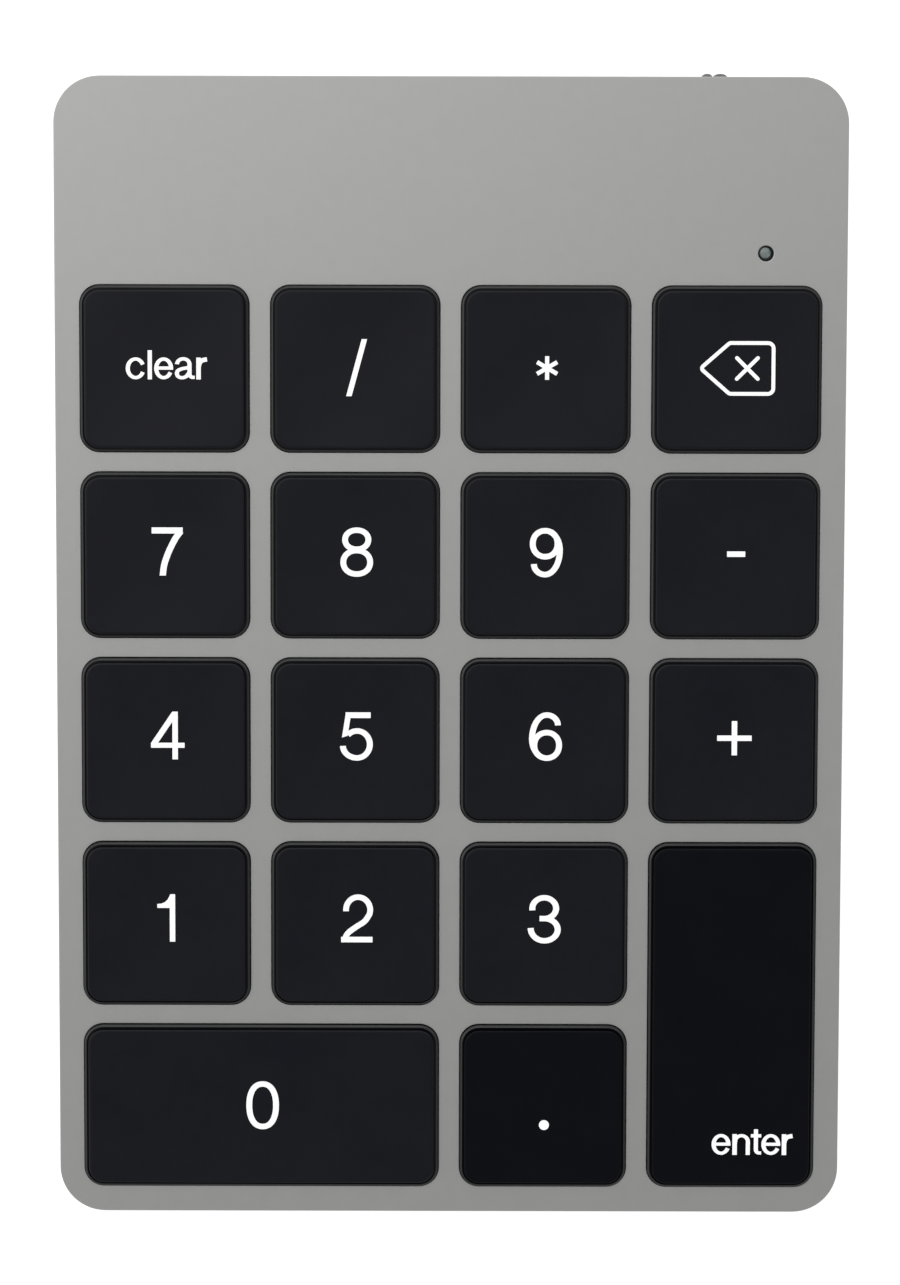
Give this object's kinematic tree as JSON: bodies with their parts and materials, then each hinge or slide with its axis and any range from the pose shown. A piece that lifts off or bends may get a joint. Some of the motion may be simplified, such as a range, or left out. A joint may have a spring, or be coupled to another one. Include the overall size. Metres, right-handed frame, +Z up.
{
  "type": "numeric keypad",
  "caption": "Slim wedge-shaped wireless numeric keypad: low black keys set in a bead-blasted grey aluminium case, with a charging port and slide switch at the back.",
  "frame": {"origin": "on the surface that the feet stand on, under the middle of the case's footprint", "axes": "+X to the user's right across the columns, +Y from the user to the back edge, +Z up; the key plate slopes up by 3.5 degrees towards +Y"},
  "size_m": [0.079, 0.1152, 0.0124],
  "materials": {
    "anodised_aluminium": "bead-blasted, space-grey anodised",
    "keycap_plastic": "fine satin moulded black with white legends",
    "cover_plastic": "fine spark-eroded texture, dark grey",
    "lever_plastic": "natural acetal",
    "spring_steel": "drawn wire",
    "backplate_steel": "rolled zinc-plated sheet",
    "silicone": "translucent silicone",
    "membrane_film": "polyester film with printed tracks",
    "board_laminate": "green solder mask",
    "battery_pouch": "laminated foil pouch",
    "port_steel": "drawn stainless steel",
    "black_plastic": "moulded black",
    "knob_plastic": "grey, moulded to match the case",
    "connector_plastic": "natural nylon",
    "lens_plastic": "smoked clear light pipe",
    "foot_rubber": "matt black rubber",
    "screw_steel": "black-oxide steel"
  },
  "bodies": {
    "case": {"top_case": "anodised_aluminium", "bottom_cover": "cover_plastic", "front_foot": "foot_rubber", "rear_foot": "foot_rubber", "cover_screw_1": "screw_steel", "cover_screw_2": "screw_steel", "cover_screw_3": "screw_steel", "cover_screw_4": "screw_steel", "dome_sheet": "silicone", "membrane": "membrane_film", "backplate": "backplate_steel", "main_board": "board_laminate", "battery": "battery_pouch", "battery_connector": "connector_plastic", "tail_connector": "black_plastic", "radio_shield": "port_steel", "usb_port_shell": "port_steel", "usb_tongue": "black_plastic", "switch_body": "black_plastic", "lamp_lens": "lens_plastic", "lamp_chip": "black_plastic"},
    "key_clear": {"key_clear": "keycap_plastic"},
    "scissor_clear": {"scissor_clear": "lever_plastic"},
    "key_divide": {"key_divide": "keycap_plastic"},
    "scissor_divide": {"scissor_divide": "lever_plastic"},
    "key_multiply": {"key_multiply": "keycap_plastic"},
    "scissor_multiply": {"scissor_multiply": "lever_plastic"},
    "key_backspace": {"key_backspace": "keycap_plastic"},
    "scissor_backspace": {"scissor_backspace": "lever_plastic"},
    "key_7": {"key_7": "keycap_plastic"},
    "scissor_7": {"scissor_7": "lever_plastic"},
    "key_8": {"key_8": "keycap_plastic"},
    "scissor_8": {"scissor_8": "lever_plastic"},
    "key_9": {"key_9": "keycap_plastic"},
    "scissor_9": {"scissor_9": "lever_plastic"},
    "key_minus": {"key_minus": "keycap_plastic"},
    "scissor_minus": {"scissor_minus": "lever_plastic"},
    "key_4": {"key_4": "keycap_plastic"},
    "scissor_4": {"scissor_4": "lever_plastic"},
    "key_5": {"key_5": "keycap_plastic"},
    "scissor_5": {"scissor_5": "lever_plastic"},
    "key_6": {"key_6": "keycap_plastic"},
    "scissor_6": {"scissor_6": "lever_plastic"},
    "key_plus": {"key_plus": "keycap_plastic"},
    "scissor_plus": {"scissor_plus": "lever_plastic"},
    "key_1": {"key_1": "keycap_plastic"},
    "scissor_1": {"scissor_1": "lever_plastic"},
    "key_2": {"key_2": "keycap_plastic"},
    "scissor_2": {"scissor_2": "lever_plastic"},
    "key_3": {"key_3": "keycap_plastic"},
    "scissor_3": {"scissor_3": "lever_plastic"},
    "key_enter": {"key_enter": "keycap_plastic"},
    "scissor_enter": {"scissor_enter": "lever_plastic"},
    "key_0": {"key_0": "keycap_plastic"},
    "scissor_0": {"scissor_0": "lever_plastic"},
    "key_point": {"key_point": "keycap_plastic"},
    "scissor_point": {"scissor_point": "lever_plastic"},
    "stabiliser_0": {"stabiliser_0": "spring_steel"},
    "stabiliser_enter": {"stabiliser_enter": "spring_steel"},
    "switch_knob": {"switch_knob": "knob_plastic"}
  },
  "joints": [
    {"name": "press_clear", "type": "slide", "parent": "case", "child": "key_clear", "axis": [0, 0.061, -0.9981], "range_m": [0, 0.0015], "stiffness_N_per_m": 240, "springref_m": -0.001, "deforming": ["dome_sheet"]},
    {"name": "press_divide", "type": "slide", "parent": "case", "child": "key_divide", "axis": [0, 0.061, -0.9981], "range_m": [0, 0.0015], "stiffness_N_per_m": 240, "springref_m": -0.001, "deforming": ["dome_sheet"]},
    {"name": "press_multiply", "type": "slide", "parent": "case", "child": "key_multiply", "axis": [0, 0.061, -0.9981], "range_m": [0, 0.0015], "stiffness_N_per_m": 240, "springref_m": -0.001, "deforming": ["dome_sheet"]},
    {"name": "press_backspace", "type": "slide", "parent": "case", "child": "key_backspace", "axis": [0, 0.061, -0.9981], "range_m": [0, 0.0015], "stiffness_N_per_m": 240, "springref_m": -0.001, "deforming": ["dome_sheet"]},
    {"name": "press_7", "type": "slide", "parent": "case", "child": "key_7", "axis": [0, 0.061, -0.9981], "range_m": [0, 0.0015], "stiffness_N_per_m": 240, "springref_m": -0.001, "deforming": ["dome_sheet"]},
    {"name": "press_8", "type": "slide", "parent": "case", "child": "key_8", "axis": [0, 0.061, -0.9981], "range_m": [0, 0.0015], "stiffness_N_per_m": 240, "springref_m": -0.001, "deforming": ["dome_sheet"]},
    {"name": "press_9", "type": "slide", "parent": "case", "child": "key_9", "axis": [0, 0.061, -0.9981], "range_m": [0, 0.0015], "stiffness_N_per_m": 240, "springref_m": -0.001, "deforming": ["dome_sheet"]},
    {"name": "press_minus", "type": "slide", "parent": "case", "child": "key_minus", "axis": [0, 0.061, -0.9981], "range_m": [0, 0.0015], "stiffness_N_per_m": 240, "springref_m": -0.001, "deforming": ["dome_sheet"]},
    {"name": "press_4", "type": "slide", "parent": "case", "child": "key_4", "axis": [0, 0.061, -0.9981], "range_m": [0, 0.0015], "stiffness_N_per_m": 240, "springref_m": -0.001, "deforming": ["dome_sheet"]},
    {"name": "press_5", "type": "slide", "parent": "case", "child": "key_5", "axis": [0, 0.061, -0.9981], "range_m": [0, 0.0015], "stiffness_N_per_m": 240, "springref_m": -0.001, "deforming": ["dome_sheet"]},
    {"name": "press_6", "type": "slide", "parent": "case", "child": "key_6", "axis": [0, 0.061, -0.9981], "range_m": [0, 0.0015], "stiffness_N_per_m": 240, "springref_m": -0.001, "deforming": ["dome_sheet"]},
    {"name": "press_plus", "type": "slide", "parent": "case", "child": "key_plus", "axis": [0, 0.061, -0.9981], "range_m": [0, 0.0015], "stiffness_N_per_m": 240, "springref_m": -0.001, "deforming": ["dome_sheet"]},
    {"name": "press_1", "type": "slide", "parent": "case", "child": "key_1", "axis": [0, 0.061, -0.9981], "range_m": [0, 0.0015], "stiffness_N_per_m": 240, "springref_m": -0.001, "deforming": ["dome_sheet"]},
    {"name": "press_2", "type": "slide", "parent": "case", "child": "key_2", "axis": [0, 0.061, -0.9981], "range_m": [0, 0.0015], "stiffness_N_per_m": 240, "springref_m": -0.001, "deforming": ["dome_sheet"]},
    {"name": "press_3", "type": "slide", "parent": "case", "child": "key_3", "axis": [0, 0.061, -0.9981], "range_m": [0, 0.0015], "stiffness_N_per_m": 240, "springref_m": -0.001, "deforming": ["dome_sheet"]},
    {"name": "press_enter", "type": "slide", "parent": "case", "child": "key_enter", "axis": [0, 0.061, -0.9981], "range_m": [0, 0.0015], "stiffness_N_per_m": 240, "springref_m": -0.001, "deforming": ["dome_sheet"]},
    {"name": "press_0", "type": "slide", "parent": "case", "child": "key_0", "axis": [0, 0.061, -0.9981], "range_m": [0, 0.0015], "stiffness_N_per_m": 240, "springref_m": -0.001, "deforming": ["dome_sheet"]},
    {"name": "press_point", "type": "slide", "parent": "case", "child": "key_point", "axis": [0, 0.061, -0.9981], "range_m": [0, 0.0015], "stiffness_N_per_m": 240, "springref_m": -0.001, "deforming": ["dome_sheet"]},
    {"name": "fold_scissor_clear", "type": "hinge", "parent": "case", "child": "scissor_clear", "pos_m": [-0.02857, 0.03256, 0.0085], "axis": [1, 0, 0], "range_deg": [0, 9.7]},
    {"name": "fold_scissor_divide", "type": "hinge", "parent": "case", "child": "scissor_divide", "pos_m": [-0.00953, 0.03256, 0.0085], "axis": [1, 0, 0], "range_deg": [0, 9.7]},
    {"name": "fold_scissor_multiply", "type": "hinge", "parent": "case", "child": "scissor_multiply", "pos_m": [0.00953, 0.03256, 0.0085], "axis": [1, 0, 0], "range_deg": [0, 9.7]},
    {"name": "fold_scissor_backspace", "type": "hinge", "parent": "case", "child": "scissor_backspace", "pos_m": [0.02857, 0.03256, 0.0085], "axis": [1, 0, 0], "range_deg": [0, 9.7]},
    {"name": "fold_scissor_7", "type": "hinge", "parent": "case", "child": "scissor_7", "pos_m": [-0.02857, 0.01391, 0.00736], "axis": [1, 0, 0], "range_deg": [0, 9.7]},
    {"name": "fold_scissor_8", "type": "hinge", "parent": "case", "child": "scissor_8", "pos_m": [-0.00953, 0.01391, 0.00736], "axis": [1, 0, 0], "range_deg": [0, 9.7]},
    {"name": "fold_scissor_9", "type": "hinge", "parent": "case", "child": "scissor_9", "pos_m": [0.00953, 0.01391, 0.00736], "axis": [1, 0, 0], "range_deg": [0, 9.7]},
    {"name": "fold_scissor_minus", "type": "hinge", "parent": "case", "child": "scissor_minus", "pos_m": [0.02857, 0.01391, 0.00736], "axis": [1, 0, 0], "range_deg": [0, 9.7]},
    {"name": "fold_scissor_4", "type": "hinge", "parent": "case", "child": "scissor_4", "pos_m": [-0.02857, -0.00475, 0.00622], "axis": [1, 0, 0], "range_deg": [0, 9.7]},
    {"name": "fold_scissor_5", "type": "hinge", "parent": "case", "child": "scissor_5", "pos_m": [-0.00953, -0.00475, 0.00622], "axis": [1, 0, 0], "range_deg": [0, 9.7]},
    {"name": "fold_scissor_6", "type": "hinge", "parent": "case", "child": "scissor_6", "pos_m": [0.00953, -0.00475, 0.00622], "axis": [1, 0, 0], "range_deg": [0, 9.7]},
    {"name": "fold_scissor_plus", "type": "hinge", "parent": "case", "child": "scissor_plus", "pos_m": [0.02857, -0.00475, 0.00622], "axis": [1, 0, 0], "range_deg": [0, 9.7]},
    {"name": "fold_scissor_1", "type": "hinge", "parent": "case", "child": "scissor_1", "pos_m": [-0.02857, -0.0234, 0.00508], "axis": [1, 0, 0], "range_deg": [0, 9.7]},
    {"name": "fold_scissor_2", "type": "hinge", "parent": "case", "child": "scissor_2", "pos_m": [-0.00953, -0.0234, 0.00508], "axis": [1, 0, 0], "range_deg": [0, 9.7]},
    {"name": "fold_scissor_3", "type": "hinge", "parent": "case", "child": "scissor_3", "pos_m": [0.00953, -0.0234, 0.00508], "axis": [1, 0, 0], "range_deg": [0, 9.7]},
    {"name": "fold_scissor_enter", "type": "hinge", "parent": "case", "child": "scissor_enter", "pos_m": [0.02857, -0.03273, 0.00451], "axis": [1, 0, 0], "range_deg": [0, 9.7]},
    {"name": "fold_scissor_0", "type": "hinge", "parent": "case", "child": "scissor_0", "pos_m": [-0.01905, -0.04206, 0.00394], "axis": [1, 0, 0], "range_deg": [0, 9.7]},
    {"name": "fold_scissor_point", "type": "hinge", "parent": "case", "child": "scissor_point", "pos_m": [0.00953, -0.04206, 0.00394], "axis": [1, 0, 0], "range_deg": [0, 9.7]},
    {"name": "fold_stabiliser_0", "type": "hinge", "parent": "key_0", "child": "stabiliser_0", "pos_m": [-0.01905, -0.04068, 0.00593], "axis": [-1, 0, 0], "range_deg": [0, 14.64]},
    {"name": "fold_stabiliser_enter", "type": "hinge", "parent": "key_enter", "child": "stabiliser_enter", "pos_m": [0.03558, -0.03734, 0.00613], "axis": [0, 0.9981, 0.061], "range_deg": [0, 14.64]},
    {"name": "slide_switch", "type": "slide", "parent": "case", "child": "switch_knob", "axis": [-1, 0, 0], "range_m": [0, 0.002]}
  ],
  "couplings": [
    {"joint": "fold_scissor_clear", "follows": "press_clear", "rad_per_m": 112.34},
    {"joint": "fold_scissor_divide", "follows": "press_divide", "rad_per_m": 112.34},
    {"joint": "fold_scissor_multiply", "follows": "press_multiply", "rad_per_m": 112.34},
    {"joint": "fold_scissor_backspace", "follows": "press_backspace", "rad_per_m": 112.34},
    {"joint": "fold_scissor_7", "follows": "press_7", "rad_per_m": 112.34},
    {"joint": "fold_scissor_8", "follows": "press_8", "rad_per_m": 112.34},
    {"joint": "fold_scissor_9", "follows": "press_9", "rad_per_m": 112.34},
    {"joint": "fold_scissor_minus", "follows": "press_minus", "rad_per_m": 112.34},
    {"joint": "fold_scissor_4", "follows": "press_4", "rad_per_m": 112.34},
    {"joint": "fold_scissor_5", "follows": "press_5", "rad_per_m": 112.34},
    {"joint": "fold_scissor_6", "follows": "press_6", "rad_per_m": 112.34},
    {"joint": "fold_scissor_plus", "follows": "press_plus", "rad_per_m": 112.34},
    {"joint": "fold_scissor_1", "follows": "press_1", "rad_per_m": 112.34},
    {"joint": "fold_scissor_2", "follows": "press_2", "rad_per_m": 112.34},
    {"joint": "fold_scissor_3", "follows": "press_3", "rad_per_m": 112.34},
    {"joint": "fold_scissor_enter", "follows": "press_enter", "rad_per_m": 112.34},
    {"joint": "fold_scissor_0", "follows": "press_0", "rad_per_m": 112.34},
    {"joint": "fold_scissor_point", "follows": "press_point", "rad_per_m": 112.34},
    {"joint": "fold_stabiliser_0", "follows": "press_0", "rad_per_m": 169.78},
    {"joint": "fold_stabiliser_enter", "follows": "press_enter", "rad_per_m": 169.78}
  ]
}
